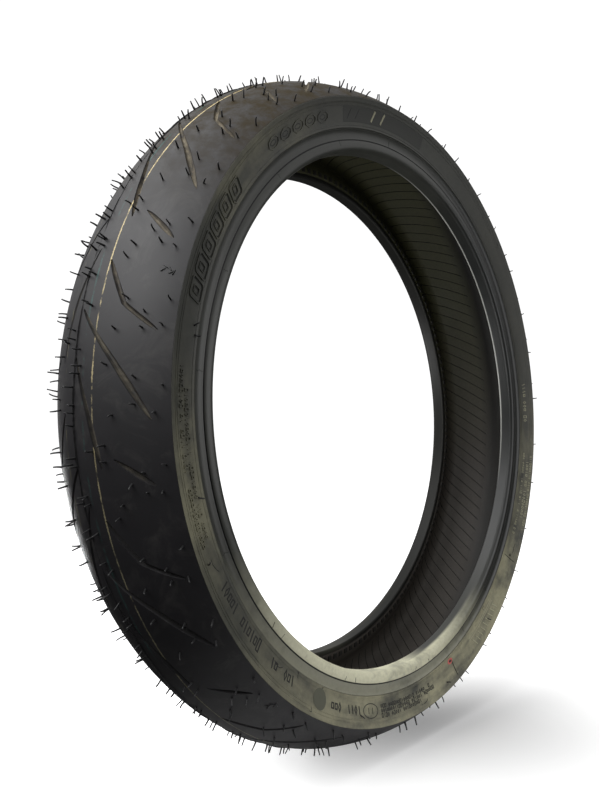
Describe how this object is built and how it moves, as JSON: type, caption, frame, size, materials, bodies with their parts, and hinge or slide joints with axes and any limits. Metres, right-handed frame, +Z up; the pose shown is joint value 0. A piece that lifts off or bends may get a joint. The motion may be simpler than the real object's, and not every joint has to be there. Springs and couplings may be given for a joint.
{
  "type": "motorcycle front tyre",
  "caption": "Tubeless radial front tyre for a sport motorcycle, with a rounded grooved tread, off its rim.",
  "frame": {"origin": "centre of the wheel, midway between the two beads", "axes": "+Y along the wheel's axis towards the left side, +Z up, +X forward"},
  "size_m": [0.564, 0.115, 0.564],
  "materials": {
    "tread_rubber": "matte, moulded",
    "base_rubber": "matte",
    "belt_rubber": "matte",
    "cord_steel": "brass-coated wire",
    "ply_fabric": "rubber-coated cord",
    "liner_rubber": "matte",
    "sidewall_rubber": "matte, dusty",
    "rim_strip_rubber": "satin",
    "chafer_fabric": "rubber-coated weave",
    "apex_rubber": "matte, hard",
    "wrap_fabric": "rubber-coated weave",
    "insulation_rubber": "matte",
    "bead_steel": "bronze-coated wire"
  },
  "bodies": {
    "root": {"tread_cap": "tread_rubber", "tread_base": "base_rubber", "belt_skim": "belt_rubber", "belt_cord": "cord_steel", "carcass_ply_outer": "ply_fabric", "carcass_ply_inner": "ply_fabric", "inner_liner": "liner_rubber", "sidewall_left": "sidewall_rubber", "sidewall_right": "sidewall_rubber", "rim_strip_left": "rim_strip_rubber", "rim_strip_right": "rim_strip_rubber", "chafer_left": "chafer_fabric", "chafer_right": "chafer_fabric", "bead_apex_left": "apex_rubber", "bead_apex_right": "apex_rubber", "bead_wrap_left": "wrap_fabric", "bead_wrap_right": "wrap_fabric", "bead_insulation_left": "insulation_rubber", "bead_insulation_right": "insulation_rubber", "bead_wires_left": "bead_steel", "bead_wires_right": "bead_steel"}
  },
  "joints": []
}
